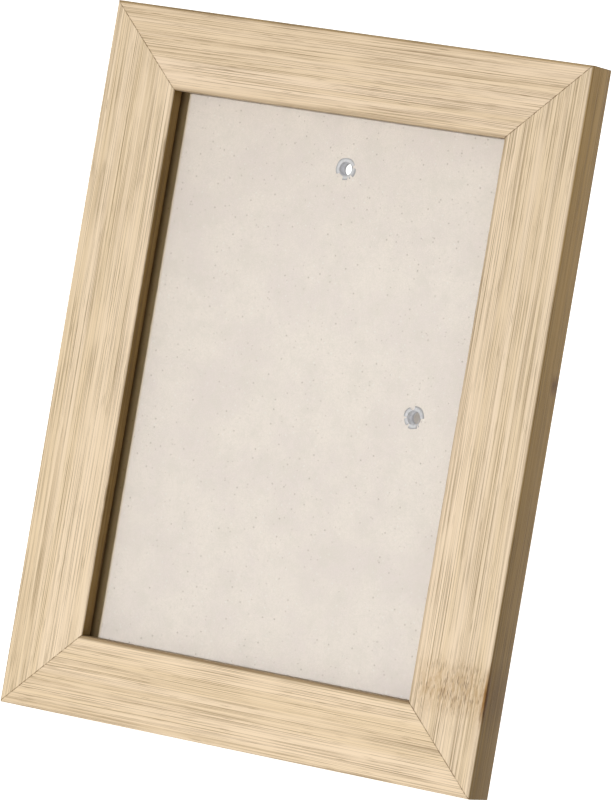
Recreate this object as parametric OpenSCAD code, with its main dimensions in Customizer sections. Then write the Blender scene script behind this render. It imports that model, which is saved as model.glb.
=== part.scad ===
// Leaning tabletop picture frame: four mitred bamboo rails, a glass pane and a backing board
// held by turn buttons, two swivelling wall hangers on eyelets and a hinged easel leg.
// Frame axes before leaning: X across, Y depth from the front face, Z up from the bottom edge.

/* [Frame] */
// overall width of the frame
frame_w = 136; // [110:1:220]
// overall height of the frame, measured along its leaning face
frame_h = 181.5; // [165:0.5:230]
// width of each rail's front face
face_w = 20.7; // [19.5:0.1:24]
// depth of the rails, front face to back face
frame_d = 11; // [10.6:0.1:14]
// rounding of the outer long edges
outer_arris = 0.8; // [0.3:0.1:1.2]
// rounding of the front edge around the window
inner_arris = 0.5; // [0.2:0.1:0.8]

/* [Rebate] */
// thickness of the lip in front of the glass
lip_t = 4.2; // [3:0.1:4.6]
// width of the lip that overlaps the glass
rebate_w = 5.7; // [4:0.1:6.5]
// width of the raised rim around the back
rim_w = 6; // [4:0.1:6.5]
// thickness of the glass
glass_t = 2; // [1.6:0.1:2.2]
// thickness of the backing board
board_t = 2.2; // [2:0.1:2.4]
// play around the glass and the board in the rebate
play = 0.5; // [0.2:0.1:0.8]

/* [Stand] */
// how far the frame leans back from upright
lean_deg = 19.6; // [15:0.1:24]
// how far the open leg's foot is swung back past upright
leg_rake_deg = 5.7; // [3:0.1:9]
// height of the leg hinge, measured along the frame
pivot_v = 128; // [122:0.5:140]
// thickness of the leg panel
leg_t = 2.4; // [2:0.1:3]
// width of the leg at its hinge end
leg_top_w = 46; // [30:1:50]
// width of the leg at its foot
leg_foot_w = 56; // [36:1:60]

/* [Hinge] */
// width of the hinge
hinge_w = 24; // [18:1:28]
// thickness of the hinge leaves
leaf_t = 0.8; // [0.6:0.1:1]
// radius of the hinge pin
pin_r = 1; // [0.8:0.05:1.2]

/* [Hangers] */
// inner radius of the hollow eyelets
eyelet_bore_r = 1.62; // [1.3:0.02:1.8]
// outer radius of the eyelets' front and rear flanges
eyelet_flange_r = 2.85; // [2.6:0.05:3.2]
// distance of the top hanger's eyelet to the right of the middle
top_eyelet_u = 1.8; // [0:0.1:4]
// height of the top hanger's eyelet
top_eyelet_v = 147.75; // [146:0.25:150]
// distance of the side hanger's eyelet to the right of the middle
side_eyelet_u = 32.4; // [31:0.1:34]
// height of the side hanger's eyelet
side_eyelet_v = 89.4; // [80:0.2:100]
// distance from each eyelet to the nail hole of its hanger
hanger_reach = 13; // [11:0.5:14]
// radius of the hangers' nail holes
nail_hole_r = 2.5; // [2:0.1:3]

/* [Turn buttons] */
// height of the lower turn buttons
button_low_v = 45; // [36:1:60]
// height of the upper turn buttons
button_high_v = 137; // [120:1:142]
// length of a turn button from its screw to its tip
button_reach = 9.5; // [8.5:0.1:11]
// radius of a turn button's round end
button_r = 3.4; // [2.8:0.1:3.6]

/* [Hidden] */
$fn = 64;
half_w = frame_w / 2;
ledge_depth = lip_t + glass_t + board_t;
ledge_s = face_w - rebate_w;
button_s = (rim_w + ledge_s) / 2;
button_u = half_w - button_s;
pane_w = frame_w - 2 * ledge_s - 2 * play;
pane_h = frame_h - 2 * ledge_s - 2 * play;
wall = 0.3;
barrel_r = eyelet_bore_r + wall;
run_gap = 0.06;
face_gap = 0.2;
plate_t = 0.6;
button_t = 1;
screw_r = 1;
knuckle_r = pin_r + run_gap + leaf_t + 0.04;
knuckle_half = hinge_w / 4;
pivot_w = ledge_depth + knuckle_r;
// the leg's inner face when folded, clear of the hinge leaf on the board
leg_in_w = ledge_depth + leaf_t;
leg_rel_in = leg_in_w - pivot_w;
leaf_rel_in = leg_rel_in + leg_t;
open_deg = lean_deg + leg_rake_deg;
// the tail of the leg leaf meets the board leaf when the leg is fully open
tail_len = (leaf_rel_in * cos(open_deg) + knuckle_r - leaf_t) / sin(open_deg) - 0.12;
leg_top_gap = knuckle_r + 0.4;
leaf_len = 16;
tab_r = 4.5;
eye_r = nail_hole_r + 2.2;
// the frame's rounded lower back edge rests on the floor plane
lift = frame_d * sin(lean_deg) - outer_arris * (sin(lean_deg) + cos(lean_deg) - 1);
y_min = outer_arris * (sin(lean_deg) + cos(lean_deg) - 1);
y_max = (frame_d - outer_arris) * cos(lean_deg) + (frame_h - outer_arris) * sin(lean_deg) + outer_arris;
y_mid = (y_min + y_max) / 2;

// Places what is drawn in the upright frame's axes: leaned back and standing on the floor.
module leaned() {
    translate([0, -y_mid, lift])
        rotate([-lean_deg, 0, 0])
            children();
}

// Places what is drawn about the hinge axis in the folded position, with the leg open.
module opened() {
    leaned()
        translate([0, pivot_w, pivot_v])
            rotate([open_deg, 0, 0])
                children();
}

// A position on the frame with local Z pointing to the back.
module at(u, v, w) {
    translate([u, w, v])
        rotate([-90, 0, 0])
            children();
}

// Waste removed from a square corner at the origin to round it.
module arris_waste(r) {
    difference() {
        translate([-1, -1])
            square(r + 1);
        translate([r, r])
            circle(r);
    }
}

// Rail section: x is the distance in from the outer edge, y the depth from the front.
module rail_section() {
    difference() {
        square([face_w, frame_d]);
        translate([ledge_s, lip_t])
            square([rebate_w + 1, frame_d]);
        translate([rim_w, ledge_depth])
            square([face_w, frame_d]);
        arris_waste(outer_arris);
        translate([0, frame_d])
            mirror([0, 1])
                arris_waste(outer_arris);
        translate([face_w, 0])
            mirror([1, 0])
                arris_waste(inner_arris);
    }
}

// Upright rail along the left edge, cut at 45 degrees at both ends.
module stile_blank(length) {
    intersection() {
        linear_extrude(height = length)
            rail_section();
        rotate([90, 0, 0])
            translate([0, 0, -frame_d - 1])
                linear_extrude(height = frame_d + 2)
                    polygon([[-1, -1], [face_w + 1, face_w + 1],
                             [face_w + 1, length - face_w - 1], [-1, length + 1]]);
    }
}

module place_left() {
    translate([-half_w, 0, 0])
        children();
}

module place_bottom() {
    translate([-half_w, 0, 0])
        mirror([1, 0, -1])
            children();
}

module flip_x() {
    mirror([1, 0, 0])
        children();
}

module flip_v() {
    translate([0, 0, frame_h])
        mirror([0, 0, 1])
            children();
}

// One V-shaped nail, its point on the mitre, standing from depth w forwards.
module v_nail(s, w, length) {
    at(-half_w + s, s, w - length)
        for (turn = [-105, 15])
            rotate(turn)
                translate([0, -0.25, 0])
                    cube([4, 0.5, length]);
}

// The two nails of the lower left corner.
module corner_nails() {
    v_nail(2.4, frame_d, 7);
    v_nail(9.4, ledge_depth, 6);
}

module all_nails() {
    corner_nails();
    flip_x()
        corner_nails();
    flip_v()
        corner_nails();
    flip_v()
        flip_x()
            corner_nails();
}

// Positions of the turn buttons: side -1 is the left stile, side 1 the right.
module at_button(side, v, w) {
    at(side * button_u, v, w)
        children();
}

module screw_holes(side) {
    for (v = [button_low_v, button_high_v])
        at_button(side, v, ledge_depth - 5)
            cylinder(h = 6, r = screw_r);
}

module left_rail() {
    color("BurlyWood")
        leaned()
            difference() {
                place_left()
                    stile_blank(frame_h);
                all_nails();
                screw_holes(-1);
            }
}

module right_rail() {
    color("BurlyWood")
        leaned()
            difference() {
                flip_x()
                    place_left()
                        stile_blank(frame_h);
                all_nails();
                screw_holes(1);
            }
}

module bottom_rail() {
    color("BurlyWood")
        leaned()
            difference() {
                place_bottom()
                    stile_blank(frame_w);
                all_nails();
            }
}

module top_rail() {
    color("BurlyWood")
        leaned()
            difference() {
                flip_v()
                    place_bottom()
                        stile_blank(frame_w);
                all_nails();
            }
}

module corner_v_nails() {
    color("Silver")
        leaned()
            all_nails();
}

module pane_sheet(w, t) {
    translate([-pane_w / 2, w, (frame_h - pane_h) / 2])
        cube([pane_w, t, pane_h]);
}

module glass_pane() {
    color("LightCyan", 0.35)
        leaned()
            pane_sheet(lip_t, glass_t);
}

// Prongs that hold the hinge leaf to the board.
module leaf_prongs() {
    for (u = [-hinge_w / 2 + 3, hinge_w / 2 - 3])
        for (v = [4.5, 9.5])
            translate([u - 0.6, ledge_depth - 1.4, pivot_v + v - 0.4])
                cube([1.2, 1.4, 0.8]);
}

// Hole and front recess in the board for one eyelet.
module eyelet_seat(u, v) {
    at(u, v, lip_t + glass_t - 1) {
        cylinder(h = board_t + 2, r = barrel_r);
        cylinder(h = 1 + 0.45, r = eyelet_flange_r + 0.1);
    }
}

module backing_board() {
    color("Wheat")
        leaned()
            difference() {
                pane_sheet(lip_t + glass_t, board_t);
                eyelet_seat(top_eyelet_u, top_eyelet_v);
                eyelet_seat(side_eyelet_u, side_eyelet_v);
                leaf_prongs();
            }
}

// Hollow eyelet: split flange clinched in front of the board, barrel, round flange behind.
module eyelet(u, v) {
    front = lip_t + glass_t + 0.03;
    rear = ledge_depth + face_gap + plate_t + 0.1;
    color("Silver")
        leaned()
            difference() {
                union() {
                    at(u, v, front)
                        cylinder(h = rear + 0.4 - front, r = barrel_r);
                    at(u, v, front)
                        difference() {
                            cylinder(h = 0.42, r = eyelet_flange_r);
                            for (turn = [0:60:300])
                                rotate(turn)
                                    translate([barrel_r + 0.1, -0.22, -1])
                                        cube([eyelet_flange_r, 0.44, 3]);
                        }
                    at(u, v, rear)
                        cylinder(h = 0.4, r = eyelet_flange_r);
                }
                at(u, v, front - 1)
                    cylinder(h = rear - front + 3, r = eyelet_bore_r);
            }
}

module eyelet_top() {
    eyelet(top_eyelet_u, top_eyelet_v);
}

module eyelet_side() {
    eyelet(side_eyelet_u, side_eyelet_v);
}

// Stamped hanger plate: round tab on the eyelet, neck and nail eye, turned to its edge.
module hanger(u, v, turn) {
    color("Gainsboro")
        leaned()
            at(u, v, ledge_depth + face_gap)
                rotate(turn)
                    linear_extrude(height = plate_t)
                        difference() {
                            union() {
                                circle(tab_r);
                                translate([0, -2.6])
                                    square([hanger_reach, 5.2]);
                                translate([hanger_reach, 0])
                                    circle(eye_r);
                            }
                            circle(barrel_r + run_gap);
                            translate([hanger_reach, 0])
                                circle(nail_hole_r);
                        }
}

module hanger_top() {
    hanger(top_eyelet_u, top_eyelet_v, -90);
}

module hanger_side() {
    hanger(side_eyelet_u, side_eyelet_v, 0);
}

// A cylinder on the hinge axis from x0 to x1.
module hinge_rod(r, x0, x1) {
    translate([x0, 0, 0])
        rotate([0, 90, 0])
            cylinder(h = x1 - x0, r = r);
}

module hinge_board_leaf() {
    color("Silver")
        leaned() {
            translate([0, pivot_w, pivot_v])
                for (side = [-1, 1]) {
                    x0 = side < 0 ? -hinge_w / 2 : knuckle_half + 0.15;
                    x1 = side < 0 ? -knuckle_half - 0.15 : hinge_w / 2;
                    difference() {
                        union() {
                            hinge_rod(knuckle_r, x0, x1);
                            translate([x0, -knuckle_r, 0])
                                cube([x1 - x0, leaf_t, 4]);
                        }
                        hinge_rod(pin_r, x0 - 1, x1 + 1);
                    }
                }
            translate([-hinge_w / 2, ledge_depth, pivot_v + 2.6])
                cube([hinge_w, leaf_t, 9.4]);
            leaf_prongs();
        }
}

module hinge_pin() {
    color("DarkGray")
        leaned()
            translate([0, pivot_w, pivot_v])
                hinge_rod(pin_r, -hinge_w / 2 - 0.3, hinge_w / 2 + 0.3);
}

// Rivet positions along the leg leaf, in the folded leg's axes.
module at_rivets(w) {
    for (u = [-7, 7])
        at(u, -leaf_len + 4, w)
            children();
}

module hinge_leg_leaf() {
    color("Silver")
        opened()
            difference() {
                union() {
                    hinge_rod(knuckle_r, -knuckle_half + 0.15, knuckle_half - 0.15);
                    translate([-knuckle_half + 0.15, leaf_rel_in, -leg_top_gap - 1])
                        cube([2 * knuckle_half - 0.3, leaf_t, leg_top_gap + 1 + tail_len]);
                    translate([-hinge_w / 2, leaf_rel_in, -leaf_len])
                        cube([hinge_w, leaf_t, leaf_len - leg_top_gap]);
                }
                hinge_rod(pin_r + run_gap, -hinge_w, hinge_w);
                at_rivets(leaf_rel_in - 1)
                    cylinder(h = leaf_t + 2, r = 1);
            }
}

module leg_rivets() {
    color("DarkGray")
        opened() {
            at_rivets(leg_rel_in - 0.4)
                cylinder(h = 0.4, r = 2);
            at_rivets(leg_rel_in - 0.2)
                cylinder(h = leg_t + leaf_t + 0.5, r = 1);
            at_rivets(leaf_rel_in + leaf_t)
                cylinder(h = 0.5, r = 1.9);
        }
}

// Tapered leg panel with its foot cut level on the floor.
module easel_leg() {
    color("Gainsboro")
        difference() {
            opened()
                difference() {
                    translate([0, leg_rel_in + leg_t, 0])
                        rotate([90, 0, 0])
                            linear_extrude(height = leg_t)
                                polygon([[-leg_top_w / 2, -leg_top_gap], [leg_top_w / 2, -leg_top_gap],
                                         [leg_foot_w / 2, -pivot_v], [-leg_foot_w / 2, -pivot_v]]);
                    at_rivets(leg_rel_in - 1)
                        cylinder(h = leg_t + 2, r = 1);
                }
            translate([-frame_w, -frame_h, -30])
                cube([2 * frame_w, 2 * frame_h, 30]);
        }
}

// Flat turn button; its tip points to the middle of the frame and covers the board's edge.
module turn_button(side, v) {
    color("Silver")
        leaned()
            at_button(side, v, ledge_depth + face_gap)
                linear_extrude(height = button_t)
                    difference() {
                        union() {
                            circle(button_r);
                            translate([side > 0 ? -button_reach + 2.4 : 0, -2.4])
                                square([button_reach - 2.4, 4.8]);
                            translate([-side * (button_reach - 2.4), 0])
                                circle(2.4);
                        }
                        circle(screw_r + run_gap);
                    }
}

module turn_button_left_low() {
    turn_button(-1, button_low_v);
}

module turn_button_left_high() {
    turn_button(-1, button_high_v);
}

module turn_button_right_low() {
    turn_button(1, button_low_v);
}

module turn_button_right_high() {
    turn_button(1, button_high_v);
}

// Slotted screws that the turn buttons swing on.
module turn_button_screws() {
    under = ledge_depth + face_gap + button_t + 0.1;
    color("DarkGray")
        leaned()
            for (side = [-1, 1])
                for (v = [button_low_v, button_high_v])
                    at_button(side, v, ledge_depth - 5)
                        difference() {
                            union() {
                                cylinder(h = under - ledge_depth + 5.5, r = screw_r);
                                translate([0, 0, under - ledge_depth + 5])
                                    cylinder(h = 1, r = 2.1);
                            }
                            translate([-3, -0.25, under - ledge_depth + 5.6])
                                cube([6, 0.5, 1]);
                        }
}

top_rail();
bottom_rail();
left_rail();
right_rail();
corner_v_nails();
glass_pane();
backing_board();
eyelet_top();
eyelet_side();
hanger_top();
hanger_side();
hinge_board_leaf();
hinge_pin();
hinge_leg_leaf();
leg_rivets();
easel_leg();
turn_button_left_low();
turn_button_left_high();
turn_button_right_low();
turn_button_right_high();
turn_button_screws();
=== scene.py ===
"""Looks of a leaning bamboo picture frame: glass over a pale board, easel leg and hangers behind.

Lengths are millimetres in the frame's own upright axes, as in the CAD source: x (or u) across,
y (or w) the depth from the front face, z (or v) up from the bottom edge. TO_ROW leans them back
and turns them into the metres of the shared frame.
"""
import math
import random

import bmesh
import bpy
from mathutils import Matrix, Vector
from mathutils.geometry import tessellate_polygon


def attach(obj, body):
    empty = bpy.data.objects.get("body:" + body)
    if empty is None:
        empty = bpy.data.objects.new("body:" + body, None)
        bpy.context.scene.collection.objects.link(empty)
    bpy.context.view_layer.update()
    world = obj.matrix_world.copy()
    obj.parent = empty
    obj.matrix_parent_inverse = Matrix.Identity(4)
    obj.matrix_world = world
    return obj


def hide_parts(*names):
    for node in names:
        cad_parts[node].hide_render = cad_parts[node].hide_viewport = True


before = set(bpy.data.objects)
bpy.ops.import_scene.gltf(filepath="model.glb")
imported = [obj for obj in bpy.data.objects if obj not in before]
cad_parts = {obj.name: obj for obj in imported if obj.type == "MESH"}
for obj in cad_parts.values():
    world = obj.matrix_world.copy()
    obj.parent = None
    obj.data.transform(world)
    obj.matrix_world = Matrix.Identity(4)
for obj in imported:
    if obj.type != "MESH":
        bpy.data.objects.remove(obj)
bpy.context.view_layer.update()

MM = 0.001
LEAN = math.radians(19.6)
FRAME_W, FRAME_H, FRAME_D = 136.0, 181.5, 11.0
HALF_W = FRAME_W / 2
# a rail's section: its face, the lip over the glass, the ledge for the buttons and the outer rim
FACE_W = 20.7
LIP_T = 4.2
GLASS_T, BOARD_T = 2.0, 2.2
BOARD_FRONT = LIP_T + GLASS_T
LEDGE_S, LEDGE_D = 15.0, BOARD_FRONT + BOARD_T
RIM_W = 6.0
OUTER_R, INNER_R, SMALL_R = 0.8, 0.5, 0.25

# the leaned frame rests its rounded lower back edge on the floor, and y 0 is half its depth
sin_lean, cos_lean = math.sin(LEAN), math.cos(LEAN)
lift = FRAME_D * sin_lean - OUTER_R * (sin_lean + cos_lean - 1)
y_low = OUTER_R * (sin_lean + cos_lean - 1)
y_high = (FRAME_D - OUTER_R) * cos_lean + (FRAME_H - OUTER_R) * sin_lean + OUTER_R
SHIFT = Vector((0, -(y_low + y_high) / 2, lift))
UPRIGHT_TO_ROW = Matrix.Translation(SHIFT) @ Matrix.Rotation(-LEAN, 4, "X")
TO_ROW = Matrix.Scale(MM, 4) @ UPRIGHT_TO_ROW
ROW_TO_UPRIGHT_SHIFT = -(Matrix.Rotation(LEAN, 3, "X") @ SHIFT)


# ---------------------------------------------------------------- node graphs
class Graph:
    """A material's node tree, with short ways to add and join nodes."""

    def __init__(self, name):
        self.material = bpy.data.materials.new(name)
        self.material.use_nodes = True
        self.tree = self.material.node_tree
        self.tree.nodes.clear()

    def feed(self, socket, value):
        if isinstance(value, bpy.types.NodeSocket):
            self.tree.links.new(value, socket)
        else:
            socket.default_value = value

    def node(self, kind, inputs, **settings):
        made = self.tree.nodes.new(kind)
        for key, value in settings.items():
            setattr(made, key, value)
        for key, value in inputs.items():
            self.feed(made.inputs[key], value)
        return made

    def math(self, operation, a, b=0.0, c=0.0):
        made = self.node("ShaderNodeMath", {0: a, 1: b, 2: c}, operation=operation)
        return made.outputs[0]

    def smooth(self, value, low, high, to_low=0.0, to_high=1.0):
        inputs = {"Value": value, "From Min": low, "From Max": high, "To Min": to_low, "To Max": to_high}
        made = self.node("ShaderNodeMapRange", inputs, interpolation_type="SMOOTHSTEP")
        return made.outputs["Result"]

    def mix(self, factor, a, b, blend="MIX"):
        made = self.node("ShaderNodeMix", {}, data_type="RGBA", blend_type=blend)
        self.feed(made.inputs[0], factor)
        self.feed(made.inputs[6], a)
        self.feed(made.inputs[7], b)
        return made.outputs[2]

    def vector(self, x, y, z):
        return self.node("ShaderNodeCombineXYZ", {0: x, 1: y, 2: z}).outputs[0]

    def noise(self, vector, scale=1.0, detail=2.0, rough=0.5):
        inputs = {"Vector": vector, "Scale": scale, "Detail": detail, "Roughness": rough}
        return self.node("ShaderNodeTexNoise", inputs).outputs["Fac"]

    def cells(self, vector, scale=1.0, dimensions="3D"):
        """Distance to the nearest cell point, and a random number for that cell."""
        inputs = {"Vector": vector, "Scale": scale}
        made = self.node("ShaderNodeTexVoronoi", inputs, voronoi_dimensions=dimensions)
        number = self.node("ShaderNodeSeparateColor", {0: made.outputs["Color"]}).outputs[0]
        return made.outputs["Distance"], number

    def upright(self):
        """The surface point in the frame's upright axes, in millimetres, as x, y and z."""
        place = self.node("ShaderNodeTexCoord", {}).outputs["Object"]
        inputs = {
            "Vector": place,
            "Location": ROW_TO_UPRIGHT_SHIFT,
            "Rotation": (LEAN, 0, 0),
            "Scale": (1 / MM, 1 / MM, 1 / MM),
        }
        turned = self.node("ShaderNodeMapping", inputs, vector_type="POINT").outputs[0]
        parts = self.node("ShaderNodeSeparateXYZ", {0: turned})
        return parts.outputs[0], parts.outputs[1], parts.outputs[2]

    def bump(self, height, distance, strength=1.0):
        inputs = {"Height": height, "Distance": distance, "Strength": strength}
        return self.node("ShaderNodeBump", inputs).outputs[0]

    def surface(self, **inputs):
        named = {key.replace("_", " "): value for key, value in inputs.items()}
        shader = self.node("ShaderNodeBsdfPrincipled", named)
        self.output(shader.outputs[0])
        return self.material

    def output(self, shader):
        self.node("ShaderNodeOutputMaterial", {"Surface": shader})


def srgb(red, green, blue):
    """A linear colour from 0 to 255 screen values."""
    linear = [((c / 255 + 0.055) / 1.055) ** 2.4 for c in (red, green, blue)]
    return (*linear, 1.0)


# ---------------------------------------------------------------- bamboo
STRIP_PALE = srgb(243, 221, 194)
STRIP_TAN = srgb(235, 212, 180)
STREAK = srgb(154, 131, 100)
FIBRE = srgb(194, 170, 139)
KNUCKLE = srgb(190, 158, 117)
KNUCKLE_FIBRE = srgb(112, 86, 58)
SPECK = srgb(100, 74, 48)
# tints that are multiplied over the wood: the side one is partly the side grain's darker tone and partly
# painted shade, the wall, arris and top-edge ones are painted shade
SIDE_SHADE_HIGH = srgb(194, 171, 110)
SIDE_SHADE_LOW = srgb(134, 117, 73)
WALL_SHADE = srgb(151, 131, 78)
INNER_ARRIS_SHADE = srgb(176, 166, 148)
TOP_EDGE_SHADE = srgb(198, 188, 164)
KNUCKLE_ARRIS = srgb(188, 158, 108)
MITRE_GLUE = srgb(166, 152, 132)


def bamboo(name, upright_grain, seed, tone, arris_shade, wall_shade, knuckles=(), shaded_top_edge=False):
    """Planed bamboo with its fibres along the rail, its whole colour multiplied by tone.

    The arris and wall amounts, 0 to 1, are how much painted shade darkens the inner front edge and the
    wall behind it; the top-edge flag paints shade along the frame's top edge.

    knuckles are (place along the rail, half length, strength, least depth, strength on the side).
    """
    g = Graph(name)
    x, y, z = g.upright()
    along, across = (z, x) if upright_grain else (x, z)
    bend = g.vector(g.math("MULTIPLY_ADD", along, 0.012, seed), g.math("MULTIPLY", across, 0.04), y)
    slow = g.noise(bend, 1.0)
    wander = g.math("MULTIPLY_ADD", slow, 0.5, across)

    def laid(run, pitch, offset):
        """Texture space stretched along the fibres: run and pitch are features per millimetre."""
        return g.vector(g.math("MULTIPLY_ADD", along, run, seed + offset),
                        g.math("MULTIPLY", wander, pitch), g.math("MULTIPLY", y, pitch))

    strips = g.smooth(g.noise(laid(0.004, 0.30, 3.1), 1.0, 1.0), 0.35, 0.65)
    colour = g.mix(strips, STRIP_PALE, STRIP_TAN)
    clouds = g.smooth(g.noise(laid(0.045, 0.20, 41.0), 1.0, 2.0), 0.32, 0.58, 0.45, 1.0)
    bundles = g.smooth(g.noise(laid(0.010, 2.6, 9.7), 1.0, 1.0, 0.5), 0.50, 0.64)
    colour = g.mix(g.math("MULTIPLY", bundles, g.math("MULTIPLY", clouds, 0.45)), colour, FIBRE)
    threads = g.smooth(g.noise(laid(0.020, 4.4, 17.3), 1.0, 1.0, 0.5), 0.53, 0.64)
    threads = g.math("MULTIPLY", threads, clouds)
    colour = g.mix(g.math("MULTIPLY", threads, 0.72), colour, STREAK)
    level = g.noise(laid(0.004, 1.1, 83.0), 1.0, 2.0, 0.6)
    lines = g.smooth(g.math("ABSOLUTE", g.math("SUBTRACT", level, 0.5)), 0.024, 0.006)
    lines = g.math("MULTIPLY", lines, g.smooth(clouds, 0.45, 0.9, 0.25, 1.0))
    colour = g.mix(g.math("MULTIPLY", lines, 0.42), colour, STREAK)
    pores, number = g.cells(laid(0.12, 3.4, 23.0))
    pores = g.math("MULTIPLY", g.smooth(pores, 0.30, 0.10), g.math("MULTIPLY", number, clouds))
    colour = g.mix(g.math("MULTIPLY", pores, 0.9), colour, STREAK)
    pale = g.smooth(g.noise(laid(0.02, 2.6, 61.0), 1.0, 1.0), 0.58, 0.70)
    colour = g.mix(g.math("MULTIPLY", pale, 0.6), colour, STRIP_PALE)
    height = g.math("MULTIPLY_ADD", threads, -0.5, g.math("MULTIPLY", pores, -0.5))

    side_in = g.math("SUBTRACT", HALF_W, g.math("ABSOLUTE", x))
    end_in = g.math("SUBTRACT", FRAME_H / 2, g.math("ABSOLUTE", g.math("SUBTRACT", z, FRAME_H / 2)))
    for place, half, strength, least_depth, side_share in knuckles:
        bend = g.noise(g.vector(g.math("MULTIPLY", across, 0.16), y, seed), 1.0, 2.0)
        offset = g.math("ADD", g.math("SUBTRACT", along, place), g.math("MULTIPLY_ADD", bend, 8.0, -4.0))
        near = g.smooth(g.math("ABSOLUTE", offset), half, half * 0.1, 0.0, strength)
        near = g.math("MULTIPLY", near, g.smooth(y, least_depth - 1.5, least_depth))
        near = g.math("MULTIPLY", near, g.smooth(y, 0.6, 1.6, 1.0, side_share))
        near = g.math("MULTIPLY", near, g.smooth(side_in, FACE_W, FACE_W - 5.0, 0.15, 1.0))
        blotch = g.vector(g.math("MULTIPLY", along, 0.3), g.math("MULTIPLY", across, 1.1), y)
        blotch = g.noise(blotch, 1.0, 3.0, 0.7)
        tint = g.math("MULTIPLY", near, g.smooth(blotch, 0.40, 0.62, 0.25, 0.95))
        colour = g.mix(g.math("MULTIPLY", tint, 0.75), colour, KNUCKLE)
        for run, pitch, shade, amount in ((0.28, 2.9, KNUCKLE_FIBRE, 0.85), (0.50, 1.7, SPECK, 0.45)):
            spots = g.vector(g.math("MULTIPLY", along, run), g.math("MULTIPLY", wander, pitch),
                             g.math("MULTIPLY", y, pitch))
            marks, number = g.cells(spots)
            mark = g.math("MULTIPLY", g.smooth(marks, 0.40, 0.18), g.smooth(number, 0.25, 0.65))
            colour = g.mix(g.math("MULTIPLY", g.math("MULTIPLY", mark, near), amount), colour, shade)
        rim = g.math("MULTIPLY", near, g.smooth(side_in, 1.0, 0.5))
        colour = g.mix(rim, colour, KNUCKLE_ARRIS, "MULTIPLY")

    # painted shade on the outer side faces, deeper towards the bottom, over the side grain's darker tone
    side_shade = g.mix(g.smooth(z, -70.0, 190.0), SIDE_SHADE_LOW, SIDE_SHADE_HIGH)
    colour = g.mix(g.smooth(side_in, 0.4, 0.02), colour, side_shade, "MULTIPLY")
    rail_in = side_in if upright_grain else end_in
    # painted shade along the inner front arris
    arris = g.smooth(rail_in, FACE_W - 1.1, FACE_W - 0.55, 0.0, arris_shade)
    colour = g.mix(arris, colour, INNER_ARRIS_SHADE, "MULTIPLY")
    # painted shade on the lip's inner wall, down in the recess
    wall = g.smooth(y, 0.15, 0.55, 0.0, wall_shade)
    wall = g.math("MULTIPLY", g.smooth(rail_in, FACE_W - 0.6, FACE_W - 0.2), wall)
    colour = g.mix(wall, colour, WALL_SHADE, "MULTIPLY")
    mitre = g.math("ABSOLUTE", g.math("SUBTRACT", side_in, end_in))
    patchy = g.noise(g.vector(x, 0.0, z), 0.6, 3.0, 0.8)
    glue = g.math("MULTIPLY", g.smooth(mitre, 0.24, 0.10), g.smooth(patchy, 0.40, 0.58, 0.25, 1.0))
    colour = g.mix(glue, colour, MITRE_GLUE, "MULTIPLY")
    if shaded_top_edge:
        # painted shade along the top outer edge, which faces away from the light
        top = g.smooth(z, FRAME_H - 1.0, FRAME_H - 0.35)
        colour = g.mix(top, colour, TOP_EDGE_SHADE, "MULTIPLY")
    # painted shade: the wood is made darker towards the top
    grade = g.mix(g.smooth(z, 0.0, FRAME_H), (*tone, 1), (*(0.94 * part for part in tone), 1))
    colour = g.mix(1.0, colour, grade, "MULTIPLY")
    roughness = g.smooth(bundles, 0.0, 1.0, 0.52, 0.62)
    return g.surface(Base_Color=colour, Roughness=roughness, Specular_IOR_Level=0.25,
                     Normal=g.bump(height, 0.00006, 0.6))


# ---------------------------------------------------------------- meshes
def rounded(corners, steps=6):
    """A closed outline through (x, y, radius) corners, each turned by an arc of its radius."""
    outline = []
    count = len(corners)
    for i, (x, y, radius) in enumerate(corners):
        here = Vector((x, y))
        back = (Vector(corners[i - 1][:2]) - here).normalized()
        ahead = (Vector(corners[(i + 1) % count][:2]) - here).normalized()
        if radius == 0:
            outline.append(here)
            continue
        half = math.acos(max(-1, min(1, back.dot(ahead)))) / 2
        start = here + back * radius / math.tan(half)
        centre = here + (back + ahead).normalized() * radius / math.sin(half)
        a = start - centre
        b = here + ahead * radius / math.tan(half) - centre
        sweep = a.angle_signed(b)
        for k in range(steps + 1):
            turn = -sweep * k / steps
            outline.append(centre + Matrix.Rotation(turn, 2) @ a)
    return outline


def inset(outline, distance):
    """The outline moved inwards by a small distance, point for point."""
    moved = []
    count = len(outline)
    area = sum(outline[i - 1].cross(outline[i]) for i in range(count))
    side = 1 if area > 0 else -1
    for i, here in enumerate(outline):
        chord = (outline[(i + 1) % count] - outline[i - 1]).normalized()
        moved.append(here + Vector((-chord.y, chord.x)) * distance * side)
    return moved


def walls(made, rings):
    """Joins each ring of points to the next with smooth quads."""
    count = len(rings[0])
    for a, b in zip(rings, rings[1:]):
        for i in range(count):
            j = (i + 1) % count
            made.faces.new((a[i], a[j], b[j], b[i])).smooth = True


def finish_mesh(name, made, material, body, node, sharp_deg=35):
    """Turns a bmesh in upright millimetres into a shaded piece that stands for a CAD node."""
    bmesh.ops.recalc_face_normals(made, faces=made.faces)
    smooth = [face.smooth for face in made.faces]
    mesh = bpy.data.meshes.new(name)
    made.to_mesh(mesh)
    made.free()
    mesh.transform(TO_ROW)
    mesh.set_sharp_from_angle(angle=math.radians(sharp_deg))
    mesh.polygons.foreach_set("use_smooth", smooth)
    mesh.materials.append(material)
    piece = bpy.data.objects.new(name, mesh)
    bpy.context.scene.collection.objects.link(piece)
    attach(piece, body)
    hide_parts(node)
    return piece


RAIL_SECTION = rounded([
    (0, 0, OUTER_R), (FACE_W, 0, INNER_R), (FACE_W, LIP_T, SMALL_R), (LEDGE_S, LIP_T, 0),
    (LEDGE_S, LEDGE_D, SMALL_R), (RIM_W, LEDGE_D, 0), (RIM_W, FRAME_D, SMALL_R), (0, FRAME_D, OUTER_R)])
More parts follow.
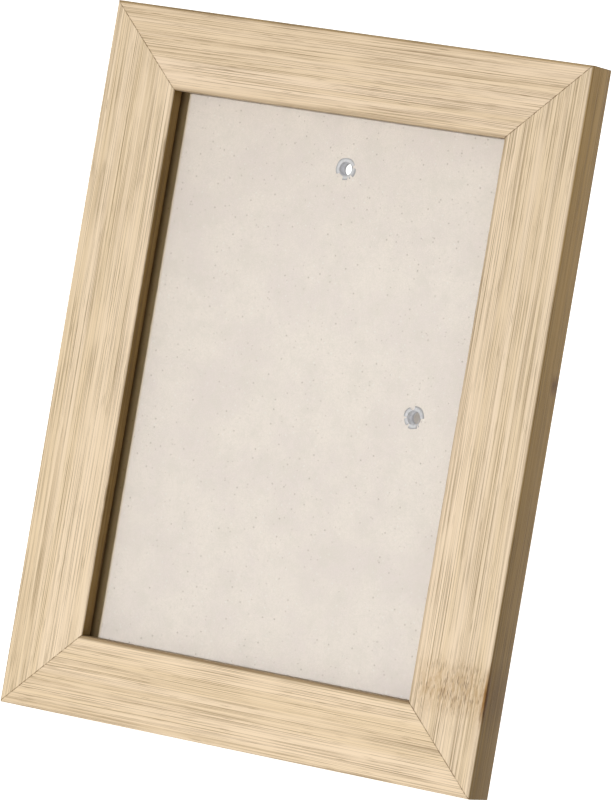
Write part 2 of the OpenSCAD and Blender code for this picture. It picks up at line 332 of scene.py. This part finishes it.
# how far a rail's ends are eased, and half the gap between two of them
MITRE_EASE = 0.03
MITRE_GAP = 0.006
# how deep the long edges are worn, and how far from the edge the wear reaches
WEAR_DEPTH, WEAR_R = 0.05, 1.2


def rail(name, node, length, place, material, seed):
    """One mitred rail. place turns (distance in, depth, distance along) into upright axes."""
    rng = random.Random(seed)
    end_section = inset(RAIL_SECTION, MITRE_EASE)
    stations = 64
    rings = [(end_section, 0.0, 0.0)]
    rings += [(RAIL_SECTION, MITRE_EASE, k / stations) for k in range(stations + 1)]
    rings.append((end_section, 0.0, 1.0))
    wear = [rng.uniform(-1, 1) for _ in rings]
    made = bmesh.new()
    rows = []
    for ring, (outline, ease, share) in enumerate(rings):
        row = []
        for s, depth in outline:
            start = s + MITRE_GAP + ease
            end = length - start
            inner_edge = max(0.0, 1 - math.hypot(s - FACE_W, depth) / WEAR_R)
            outer_edge = max(0.0, 1 - math.hypot(s, depth) / WEAR_R)
            dent = 0.0
            if 1 < ring < len(rings) - 2:
                dent = WEAR_DEPTH * wear[ring]
            inward = s - dent * inner_edge + abs(dent) * outer_edge
            row.append(made.verts.new(place(inward, depth, start + (end - start) * share)))
        rows.append(row)
    walls(made, rows)
    made.faces.new(rows[0])
    made.faces.new(rows[-1])
    return finish_mesh(name, made, material, "frame", node)


# the knuckle across the right rail's face, and a small one on its side
MAIN_KNUCKLE = (25.8, 9.5, 1.0, -2.0, 0.2)
SIDE_KNUCKLE = (103.0, 3.5, 0.7, 7.5, 1.0)
rail("rail_left", "left_rail", FRAME_H, lambda s, d, t: (s - HALF_W, d, t),
     bamboo("bamboo_left", True, 11.3, (0.98, 0.99, 0.97), 0.0, 1.0), 1)
rail("rail_right", "right_rail", FRAME_H, lambda s, d, t: (HALF_W - s, d, t),
     bamboo("bamboo_right", True, 37.9, (0.96, 0.97, 0.96), 0.4, 0.6,
            (MAIN_KNUCKLE, SIDE_KNUCKLE)), 2)
rail("rail_bottom", "bottom_rail", FRAME_W, lambda s, d, t: (t - HALF_W, d, s),
     bamboo("bamboo_bottom", False, 71.1, (0.98, 0.98, 0.95), 0.95, 0.0), 3)
rail("rail_top", "top_rail", FRAME_W, lambda s, d, t: (t - HALF_W, d, FRAME_H - s),
     bamboo("bamboo_top", False, 93.7, (0.98, 0.98, 0.97), 0.5, 0.0, shaded_top_edge=True), 4)


# ---------------------------------------------------------------- sheets and metal
def paper_board(name, base, blush, cool, speck, fleck_light, shaded_front=False):
    """Pale pressed board: cloudy tone, fine tooth, flecks.

    With its front flag set, painted shade darkens the front face towards the top and the left, and a
    warm painted shadow lies along the left margin where the lip shades it.
    """
    g = Graph(name)
    x, y, z = g.upright()
    place = g.vector(x, y, z)
    sheet = g.vector(x, z, 0.0)
    clouds = g.smooth(g.noise(place, 0.05, 6.0, 0.7), 0.36, 0.64)
    colour = g.mix(clouds, base, blush)
    patches = g.smooth(g.noise(place, 0.16, 4.0, 0.7), 0.45, 0.7)
    colour = g.mix(g.math("MULTIPLY", patches, 0.6), colour, cool)
    tooth = g.noise(place, 2.2, 3.0, 0.6)
    colour = g.mix(g.smooth(tooth, 0.35, 0.75, 0.0, 0.7), colour, cool)
    flecks = ((0.30, 0.09, 0.50, speck), (0.75, 0.15, 0.88, speck), (0.45, 0.13, 0.55, fleck_light))
    for scale, size, share, shade in flecks:
        distance, number = g.cells(sheet, scale, "2D")
        fleck = g.math("MULTIPLY", g.smooth(distance, size, size * 0.4), g.smooth(number, share, 1.0))
        colour = g.mix(g.math("MULTIPLY", fleck, 0.45), colour, shade)
    if shaded_front:
        front = g.smooth(y, BOARD_FRONT + 0.5, BOARD_FRONT + 0.3)
        # painted shade: the front face darker towards the top and the left
        shade_to_top_left = g.math("ADD", g.smooth(z, 110.0, 172.0, 0.0, 0.6), g.smooth(x, 0.0, -50.0, 0.0, 0.4))
        shade_to_top_left = g.math("MULTIPLY", g.math("MULTIPLY", shade_to_top_left, front), g.smooth(z, 60.0, 130.0, 0.4, 1.0))
        colour = g.mix(shade_to_top_left, colour, srgb(243, 241, 239), "MULTIPLY")
        # painted shadow, warm and dark, along the left margin where the left lip shades the board
        edge = g.mix(g.smooth(x, -48.7, -46.6), srgb(122, 98, 63), srgb(224, 208, 168))
        colour = g.mix(g.math("MULTIPLY", g.smooth(x, -45.2, -46.4), front), colour, edge, "MULTIPLY")
    return g.surface(Base_Color=colour, Roughness=0.85, Specular_IOR_Level=0.15,
                     Normal=g.bump(tooth, 0.00005, 0.35))


def metal(name, tone, rough):
    """Plated sheet steel with a soft rolled grain and dull patches."""
    g = Graph(name)
    x, y, z = g.upright()
    rolled = g.noise(g.vector(g.math("MULTIPLY", x, 6.0), y, g.math("MULTIPLY", z, 0.6)), 1.0, 3.0, 0.6)
    dull = g.noise(g.vector(x, y, z), 0.5, 3.0, 0.6)
    colour = g.mix(g.smooth(dull, 0.3, 0.7, 0.0, 0.5), tone, srgb(140, 140, 142))
    roughness = g.smooth(rolled, 0.3, 0.7, rough, rough + 0.12)
    roughness = g.math("ADD", roughness, g.smooth(dull, 0.4, 0.8, 0.0, 0.1))
    return g.surface(Base_Color=colour, Metallic=1.0, Roughness=roughness,
                     Normal=g.bump(rolled, 0.00001, 0.4))


def clinched_metal(name, u, v, bore):
    """Dull plating on an eyelet: its bore painted paler as painted light in the shaded hole, a pale ring
    round it, petal tips painted greyer as painted shade, and a greyer back.
    """
    g = Graph(name + "_plating")
    x, y, z = g.upright()
    away = g.vector(g.math("SUBTRACT", x, u), 0.0, g.math("SUBTRACT", z, v))
    radius = g.node("ShaderNodeVectorMath", {0: away}, operation="LENGTH").outputs["Value"]
    scuff = g.noise(g.vector(x, y, z), 1.6, 3.0, 0.6)
    # painted shade: the petal tips greyer where they curl down towards the board
    colour = g.mix(g.smooth(radius, 2.25, 2.85), srgb(206, 205, 211), srgb(158, 156, 160))
    # painted light: the bore is paler than the plating so the shaded hole reads bright
    colour = g.mix(g.math("MULTIPLY", g.smooth(radius, 1.75, 1.68), g.smooth(y, 9.2, 7.6)), colour, bore)
    colour = g.mix(g.smooth(y, 8.2, 9.0), colour, srgb(168, 167, 171))
    colour = g.mix(g.smooth(scuff, 0.45, 0.70, 0.0, 0.5), colour, srgb(172, 170, 176))
    return g.surface(Base_Color=colour, Metallic=0.2, Roughness=g.smooth(scuff, 0.3, 0.7, 0.55, 0.70),
                     Normal=g.bump(scuff, 0.00004, 0.4))


def window_glass(name):
    """Thin clear glass: what is behind shows through, and it mirrors more at a low angle."""
    g = Graph(name)
    x, y, z = g.upright()
    ripple = g.noise(g.vector(x, y, z), 0.02, 2.0)
    normal = g.bump(ripple, 0.000004, 0.2)
    facing = g.node("ShaderNodeLayerWeight", {"Blend": 0.5, "Normal": normal}).outputs["Facing"]
    mirror = g.math("MULTIPLY_ADD", g.math("POWER", facing, 5.0), 0.966, 0.034)
    clear = g.node("ShaderNodeBsdfTransparent", {"Color": (0.985, 0.992, 0.988, 1)}).outputs[0]
    glint = g.node("ShaderNodeBsdfGlossy", {"Roughness": 0.03, "Normal": normal}).outputs[0]
    g.output(g.node("ShaderNodeMixShader", {0: mirror, 1: clear, 2: glint}).outputs[0])
    return g.material


# ---------------------------------------------------------------- places
# the axis of the easel leg's hinge, and how far the leg stands open
PIVOT_W, PIVOT_V = 10.3, 128.0
OPEN = math.radians(25.3)
HINGE = Matrix.Translation((0, PIVOT_W, PIVOT_V))
LEG = HINGE @ Matrix.Rotation(OPEN, 4, "X")
ALONG_X = Matrix(((0, 0, 1, 0), (1, 0, 0, 0), (0, 1, 0, 0), (0, 0, 0, 1)))


def at(u, v, w, turn_deg=0.0):
    """A place whose local z points to the back and whose local y points down."""
    turn = Matrix.Rotation(math.radians(turn_deg), 4, "Z")
    return Matrix.Translation((u, w, v)) @ Matrix.Rotation(math.radians(-90), 4, "X") @ turn


# ---------------------------------------------------------------- solids
def arc(x, y, radius, start_deg, end_deg, steps=24):
    """Points on an arc, both ends included."""
    turns = [math.radians(start_deg + (end_deg - start_deg) * k / steps) for k in range(steps + 1)]
    return [Vector((x + radius * math.cos(t), y + radius * math.sin(t))) for t in turns]


def circle(x, y, radius, steps=64):
    """Points on a full circle."""
    return arc(x, y, radius, 0, 360, steps)[:-1]


def box_outline(x0, y0, x1, y1, radius=0.0):
    """A rectangle with rounded corners."""
    return rounded([(x0, y0, radius), (x1, y0, radius), (x1, y1, radius), (x0, y1, radius)])


def eased(thickness, ease, side=1):
    """(distance in, level) of a rim with rounded edges; side is -1 round a hole."""
    bend = 0.3 * ease
    return [(side * ease, 0), (side * bend, bend), (0, ease), (0, thickness - ease),
            (side * bend, thickness - bend), (side * ease, thickness)]


def plate(made, place, outline, thickness, ease, holes=()):
    """Adds a flat plate between local z 0 and its thickness. holes are (outline, profile)."""
    loops = [(outline, eased(thickness, ease))] + list(holes)
    faces = ([], [])
    for points, profile in loops:
        rings = []
        for distance, level in profile:
            moved = inset(points, distance)
            rings.append([made.verts.new(place @ Vector((p.x, p.y, level))) for p in moved])
            if level in (profile[0][1], profile[-1][1]):
                faces[0 if level == profile[0][1] else 1].append((moved, rings[-1]))
        walls(made, rings)
    for face in faces:
        corners = [vert for _, ring in face for vert in ring]
        for triangle in tessellate_polygon([[(p.x, p.y, 0) for p in moved] for moved, _ in face]):
            made.faces.new([corners[i] for i in triangle])


def turned(made, place, profile, steps=48, closed=False, reach=None):
    """Adds a turned solid from (radius, level, spread); spread grows the radius by reach(turn)."""
    rings = []
    for radius, level, *spread in profile:
        ring = []
        for k in range(steps):
            turn = 2 * math.pi * k / steps
            size = radius + (spread[0] * reach(math.degrees(turn)) if spread else 0)
            point = Vector((size * math.cos(turn), size * math.sin(turn), level))
            ring.append(made.verts.new(place @ point))
        rings.append(ring)
    if closed:
        rings.append(rings[0])
    walls(made, rings)
    if not closed:
        made.faces.new(rings[0])
        made.faces.new(rings[-1])


# ---------------------------------------------------------------- pane, board and leg
PANE_HALF_W, PANE_HALF_H = 52.5, 75.25
PANE_CLEAR = 0.03
# each eyelet's place (u, v), and the radii of its barrel, flange and bore and of the crushed board
TOP_EYELET, SIDE_EYELET = (1.8, 147.75), (32.4, 89.4)
BARREL_R, FLANGE_R, BORE_R, DISH_R = 1.92, 2.85, 1.62, 3.25
BOARD_FACE = paper_board("board_face", srgb(248, 238, 233), srgb(241, 230, 228), srgb(235, 227, 221),
                         srgb(150, 134, 122), srgb(255, 254, 252), True)
LEG_FACE = paper_board("leg_face", srgb(230, 229, 229), srgb(225, 225, 225), srgb(220, 220, 219),
                       srgb(176, 176, 178), srgb(240, 240, 242))


def pane_outline(margin, radius):
    """The outline that the glass and the board share, drawn in by a margin."""
    half_w, half_h = PANE_HALF_W - margin, PANE_HALF_H - margin
    return box_outline(-half_w, -half_h, half_w, half_h, radius)


def glass():
    """The pane, just clear of the lip in front of it and the board behind it."""
    made = bmesh.new()
    place = at(0, FRAME_H / 2, LIP_T + PANE_CLEAR)
    plate(made, place, pane_outline(0.1, 0.3), GLASS_T - 2 * PANE_CLEAR, 0.15)
    return finish_mesh("pane", made, window_glass("pane_glass"), "frame", "glass_pane")


def board():
    """The board, crushed into a shallow dish round each eyelet's petals."""
    holes = []
    for u, v in (TOP_EYELET, SIDE_EYELET):
        dish = [(BARREL_R - DISH_R, 0), (BARREL_R - 2.8, 0.05), (BARREL_R - 2.3, 0.14),
                (-0.04, 0.22), (0, 0.3), (0, BOARD_T - 0.1), (-0.1, BOARD_T)]
        holes.append((circle(u, FRAME_H / 2 - v, BARREL_R), dish))
    made = bmesh.new()
    plate(made, at(0, FRAME_H / 2, BOARD_FRONT), pane_outline(0.05, 0.4), BOARD_T, 0.12, holes)
    return finish_mesh("board", made, BOARD_FACE, "frame", "backing_board")


def leg_panel():
    """Tapered panel, its foot slid along the leg to end level with the floor."""
    made = bmesh.new()
    outline = rounded([(-23, 2.3, 1.0), (23, 2.3, 1.0), (28, PIVOT_V, 0), (-28, PIVOT_V, 0)])
    plate(made, LEG @ at(0, 0, -1.1), outline, 2.4, 0.15)
    up = LEG.to_3x3() @ Vector((0, 0, 1))
    rise = (UPRIGHT_TO_ROW.to_3x3() @ up).z
    for vert in made.verts:
        below = min(0.0, (UPRIGHT_TO_ROW @ vert.co).z)
        vert.co -= up * below / rise
    return finish_mesh("leg_panel", made, LEG_FACE, "leg", "easel_leg")


glass()
board()
leg_panel()


# ---------------------------------------------------------------- metal parts
NICKEL = metal("nickel", srgb(166, 166, 170), 0.50)
STEEL = metal("steel", srgb(160, 160, 163), 0.45)
PLATE_W = 8.6
PLATE_T, BUTTON_T, LEAF_T = 0.6, 1.0, 0.8
RUN_GAP = 0.06
HANGER_REACH, NAIL_HOLE_R = 13, 2.5
BUTTON_U, BUTTON_LEVELS = 57.5, (("low", 45), ("high", 137))
HINGE_HALF_W, KNUCKLE_HALF_W, KNUCKLE_GAP = 12.0, 6.0, 0.15
KNUCKLE_R, PIN_R = 1.9, 1.0
# (start, end, length) of each clinched petal, in degrees as seen from the front
TOP_PETALS = ((24, 218, 1.05), (257, 294, 1.2), (299, 312, 1.2), (319, 372, 1.35))
SIDE_PETALS = ((0, 96, 1.35), (117, 184, 1.15), (190, 236, 1.0), (244, 304, 1.25), (307, 316, 1.3))


def petal_reach(petals):
    """How far the clinched (start, end, length) petals reach at a turn, 0 in the slits."""
    def reach(turn_deg):
        best = 0.0
        for start, end, length in petals:
            inside = min((-turn_deg - start) % 360, (end + turn_deg) % 360)
            if (-turn_deg - start) % 360 < end - start:
                share = min(1.0, inside / 4.0)
                ragged = 0.93 + 0.07 * math.sin(math.radians(turn_deg * 5 + start))
                best = max(best, length * share * ragged)
        return best
    return reach


def eyelet(name, node, place, petals, bore):
    """Hollow eyelet: petals clinched over the board in front, round flange behind."""
    profile = [
        (BORE_R, 9.45, 0), (BORE_R, 6.60, 0), (BORE_R + 0.05, 6.40, 0), (BORE_R + 0.17, 6.24, 0),
        (BARREL_R, 6.19, 0.08), (BARREL_R, 6.18, 0.35), (BARREL_R, 6.19, 0.62), (BARREL_R, 6.22, 0.82),
        (BARREL_R, 6.32, 0.93), (BARREL_R, 6.42, 0.85), (BARREL_R, 6.44, 0.30), (BARREL_R, 6.60, 0),
        (BARREL_R, 9.22, 0), (2.05, 9.31, 0), (2.55, 9.31, 0), (2.78, 9.37, 0), (FLANGE_R, 9.50, 0),
        (2.76, 9.62, 0), (2.50, 9.69, 0), (1.95, 9.69, 0), (1.72, 9.61, 0)]
    made = bmesh.new()
    turned(made, at(*place, 0), profile, 240, True, petal_reach(petals))
    return finish_mesh(name, made, clinched_metal(name, *place, bore), "frame", node)


def lobed(r0, reach, r1, neck):
    """Outline of two discs joined by a straight neck."""
    first = math.degrees(math.asin(neck / r0))
    last = math.degrees(math.asin(min(1.0, neck / r1)))
    return arc(0, 0, r0, first, 360 - first, 48) + arc(reach, 0, r1, last - 180, 180 - last, 36)


def hanger(name, node, body, place, turn_deg):
    """Stamped plate: a tab round the eyelet, a neck and a ring round the nail hole."""
    made = bmesh.new()
    pivot = (circle(0, 0, BARREL_R + RUN_GAP), eased(PLATE_T, 0.1, -1))
    nail_hole = (circle(HANGER_REACH, 0, NAIL_HOLE_R), eased(PLATE_T, 0.15, -1))
    outline = lobed(4.5, HANGER_REACH, NAIL_HOLE_R + 2.2, 2.6)
    plate(made, at(*place, PLATE_W, turn_deg), outline, PLATE_T, 0.15, (pivot, nail_hole))
    return finish_mesh(name, made, NICKEL, body, node)


def turn_button(side, v, level):
    """Button that swings on its screw, its tip over the board. side is -1 left, 1 right."""
    made = bmesh.new()
    pivot = (circle(0, 0, PIN_R + RUN_GAP), eased(BUTTON_T, 0.1, -1))
    place = at(side * BUTTON_U, v, PLATE_W, 180 if side > 0 else 0)
    plate(made, place, lobed(3.4, 7.1, 2.4, 2.399), BUTTON_T, 0.2, (pivot,))
    word = ("right_" if side > 0 else "left_") + level
    return finish_mesh("button_" + word, made, NICKEL, "button_" + word, "turn_button_" + word)


def screws():
    """Slotted screws: a low disc with two half moons on it, each turned its own way."""
    rng = random.Random(8)
    made = bmesh.new()
    shank = [(0.3, 3.4), (0.8, 3.9), (1.0, 4.4), (1.0, 9.70),
             (1.9, 9.70), (2.1, 9.78), (2.1, 10.05), (2.0, 10.15)]
    edge = math.degrees(math.asin(0.25 / 2.05))
    moon = arc(0, 0, 2.05, edge, 180 - edge, 32)
    for side in (-1, 1):
        for _, v in BUTTON_LEVELS:
            turn_deg = rng.uniform(0, 180)
            turned(made, at(side * BUTTON_U, v, 0), shank)
            for half in (0, 180):
                plate(made, at(side * BUTTON_U, v, 10.1, turn_deg + half), moon, 0.58, 0.2)
    return finish_mesh("screws", made, STEEL, "frame", "turn_button_screws")


def hinge_frame_leaf():
    """Leaf on the board, its two outer ends rolled into knuckles round the pin."""
    made = bmesh.new()
    roll = [Vector((-1.88, 4.0))] + arc(0, 0, KNUCKLE_R - 0.02, 180, 475, 40)
    roll += arc(0, 0, PIN_R + 0.04, 475, 180, 40) + [Vector((-1.12, 4.0))]
    width = HINGE_HALF_W - KNUCKLE_HALF_W - KNUCKLE_GAP
    for x0 in (-HINGE_HALF_W, KNUCKLE_HALF_W + KNUCKLE_GAP):
        plate(made, HINGE @ Matrix.Translation((x0, 0, 0)) @ ALONG_X, roll, width, 0.08)
    leaf = box_outline(-HINGE_HALF_W, -140.0, HINGE_HALF_W, -130.6, 0.8)
    plate(made, at(0, 0, LEDGE_D), leaf, LEAF_T, 0.12)
    for u in (-9, 9):
        for v in (132.5, 137.5):
            plate(made, at(u, v, 7.0), box_outline(-0.6, -0.4, 0.6, 0.4), 1.6, 0.05)
    return finish_mesh("hinge_frame_leaf", made, NICKEL, "frame", "hinge_board_leaf")


def hinge_leg_leaf():
    """Leaf riveted to the leg, with the middle knuckle and the tail that stops the leg."""
    made = bmesh.new()
    width = 2 * (KNUCKLE_HALF_W - KNUCKLE_GAP)
    bore = [(circle(0, 0, PIN_R + RUN_GAP), eased(width, 0.08, -1))]
    shift = Matrix.Translation((-width / 2, 0, 0))
    plate(made, LEG @ shift @ ALONG_X, circle(0, 0, KNUCKLE_R - 0.04), width, 0.1, bore)
    tongue = box_outline(-width / 2, -5.2, width / 2, 4.0, 0.3)
    plate(made, LEG @ at(0, 0, 1.31), tongue, LEAF_T - 0.02, 0.1)
    leaf = box_outline(-HINGE_HALF_W, 2.3, HINGE_HALF_W, 16.0, 0.8)
    plate(made, LEG @ at(0, 0, 1.3), leaf, LEAF_T, 0.12)
    return finish_mesh("hinge_leg_plate", made, NICKEL, "leg", "hinge_leg_leaf")


def pin_and_rivets():
    """The hinge's pin, a little longer than the leaves are wide, and the leg's two rivets."""
    made = bmesh.new()
    pin = [(0.55, 0), (0.9, 0.12), (PIN_R, 0.35), (PIN_R, 24.25), (0.9, 24.48), (0.55, 24.6)]
    turned(made, HINGE @ Matrix.Translation((-12.3, 0, 0)) @ ALONG_X, pin)
    finish_mesh("pin", made, STEEL, "frame", "hinge_pin")
    made = bmesh.new()
    rivet = [(0.5, -1.50), (1.3, -1.46), (1.8, -1.34), (2.0, -1.12), (1.0, -1.10), (1.0, 2.10),
             (1.9, 2.11), (1.86, 2.30), (1.5, 2.50), (0.9, 2.58), (0.4, 2.60)]
    for u in (-7, 7):
        turned(made, LEG @ at(u, -12.0, 0), rivet)
    finish_mesh("rivets", made, STEEL, "leg", "leg_rivets")


def v_nails():
    """V nails across the mitres, their backs standing just proud of the wood."""
    made = bmesh.new()
    middle = Matrix.Translation((0, 0, FRAME_H / 2))
    wing = box_outline(0, -0.25, 4, 0.25)
    for mirror_u, mirror_v in ((1, 1), (1, -1), (-1, 1), (-1, -1)):
        flip = middle @ Matrix.Diagonal((mirror_u, 1, mirror_v, 1)) @ middle.inverted()
        for s, w, length in ((2.4, FRAME_D, 7), (9.4, LEDGE_D, 6)):
            for turn_deg in (-105, 15):
                place = flip @ at(s - HALF_W, s, w - length, turn_deg)
                plate(made, place, wing, length + 0.03, 0.05)
    return finish_mesh("v_nails", made, STEEL, "frame", "corner_v_nails")


# the bore colours are painted light, the side eyelet's brighter still
eyelet("eyelet_ring_top", "eyelet_top", TOP_EYELET, TOP_PETALS, srgb(222, 222, 229))
eyelet("eyelet_ring_side", "eyelet_side", SIDE_EYELET, SIDE_PETALS, srgb(238, 238, 243))
hanger("hanger_plate_top", "hanger_top", "top_hanger", TOP_EYELET, -90)
hanger("hanger_plate_side", "hanger_side", "side_hanger", SIDE_EYELET, 0)
for level, v in BUTTON_LEVELS:
    turn_button(-1, v, level)
    turn_button(1, v, level)
screws()
hinge_frame_leaf()
hinge_leg_leaf()
pin_and_rivets()
v_nails()


# ---------------------------------------------------------------- stage
def floor():
    """A plain white floor, just below the object, that glows enough to look even."""
    mesh = bpy.data.meshes.new("floor")
    half = 3.0
    corners = [(-half, -half, 0), (half, -half, 0), (half, half, 0), (-half, half, 0)]
    mesh.from_pydata(corners, [], [(0, 1, 2, 3)])
    made = bpy.data.objects.new("floor", mesh)
    made.location.z = -0.0002
    g = Graph("floor_white")
    diffuse = g.node("ShaderNodeBsdfDiffuse", {"Color": (0.8, 0.8, 0.8, 1)}).outputs[0]
    glow = g.node("ShaderNodeEmission", {"Color": (1, 1, 1, 1), "Strength": 0.85}).outputs[0]
    g.output(g.node("ShaderNodeAddShader", {0: diffuse, 1: glow}).outputs[0])
    mesh.materials.append(g.material)
    bpy.context.scene.collection.objects.link(made)
    made.visible_diffuse = False


def lamp(name, kind, energy, azimuth, elevation, **settings):
    """A lamp shining from azimuth (0 in front, + to the right) and elevation, in degrees."""
    data = bpy.data.lights.new(name, kind)
    data.energy = energy
    for key, value in settings.items():
        setattr(data, key, value)
    made = bpy.data.objects.new(name, data)
    a, e = math.radians(azimuth), math.radians(elevation)
    towards = Vector((math.sin(a) * math.cos(e), -math.cos(a) * math.cos(e), math.sin(e)))
    made.location = towards
    made.rotation_euler = towards.to_track_quat("Z", "Y").to_euler()
    bpy.context.scene.collection.objects.link(made)
    return made


def surroundings():
    """A plain white room whose light is warm and dim in front and brighter and neutral behind."""
    world = bpy.data.worlds.new("room")
    bpy.context.scene.world = world
    world.use_nodes = True
    tree = world.node_tree
    tree.nodes.clear()
    place = tree.nodes.new("ShaderNodeTexCoord").outputs["Generated"]
    parts = tree.nodes.new("ShaderNodeSeparateXYZ")
    tree.links.new(place, parts.inputs[0])

    def ramp(axis, start, end, low, high):
        made = tree.nodes.new("ShaderNodeMapRange")
        for key, value in (("From Min", start), ("From Max", end), ("To Min", low), ("To Max", high)):
            made.inputs[key].default_value = value
        tree.links.new(parts.outputs[axis], made.inputs["Value"])
        return made.outputs[0]

    strength = tree.nodes.new("ShaderNodeMath")
    strength.operation = "MULTIPLY"
    tree.links.new(ramp(2, -1.0, 1.0, 0.48, 0.32), strength.inputs[0])
    tree.links.new(ramp(1, 0.1, 0.9, 1.0, 3.4), strength.inputs[1])
    tint = tree.nodes.new("ShaderNodeMix")
    tint.data_type = "RGBA"
    tint.inputs[6].default_value = (1.0, 0.93, 0.80, 1)
    tint.inputs[7].default_value = (1.0, 1.0, 1.0, 1)
    tree.links.new(ramp(1, -0.4, 0.6, 0.0, 1.0), tint.inputs[0])
    back = tree.nodes.new("ShaderNodeBackground")
    tree.links.new(tint.outputs[2], back.inputs["Color"])
    tree.links.new(strength.outputs[0], back.inputs["Strength"])
    seen = tree.nodes.new("ShaderNodeBackground")
    both = tree.nodes.new("ShaderNodeMixShader")
    tree.links.new(tree.nodes.new("ShaderNodeLightPath").outputs["Is Camera Ray"], both.inputs[0])
    tree.links.new(back.outputs[0], both.inputs[1])
    tree.links.new(seen.outputs[0], both.inputs[2])
    seen.inputs["Color"].default_value = (1, 1, 1, 1)
    out = tree.nodes.new("ShaderNodeOutputWorld")
    tree.links.new(both.outputs[0], out.inputs["Surface"])


def camera():
    """The camera at the photograph's viewing angle, a little above the frame and to its right."""
    data = bpy.data.cameras.new("camera")
    data.sensor_width = 36.0
    data.lens = 256.93
    made = bpy.data.objects.new("camera", data)
    bpy.context.scene.collection.objects.link(made)
    bpy.context.scene.camera = made
    aim = Vector((3.832, -3.788, 86.759)) * MM
    azimuth, elevation, distance = math.radians(29.969), math.radians(17.624), 1.4231
    back = Vector((math.sin(azimuth) * math.cos(elevation), -math.cos(azimuth) * math.cos(elevation),
                   math.sin(elevation)))
    made.location = aim + back * distance
    made.rotation_euler = back.to_track_quat("Z", "Y").to_euler()
    data.clip_start, data.clip_end = 0.05, 20.0


floor()
surroundings()
lamp("key", "SUN", 2.05, -13.8, 20.0, angle=math.radians(3.0))
camera()
bpy.context.scene.view_settings.view_transform = "Standard"
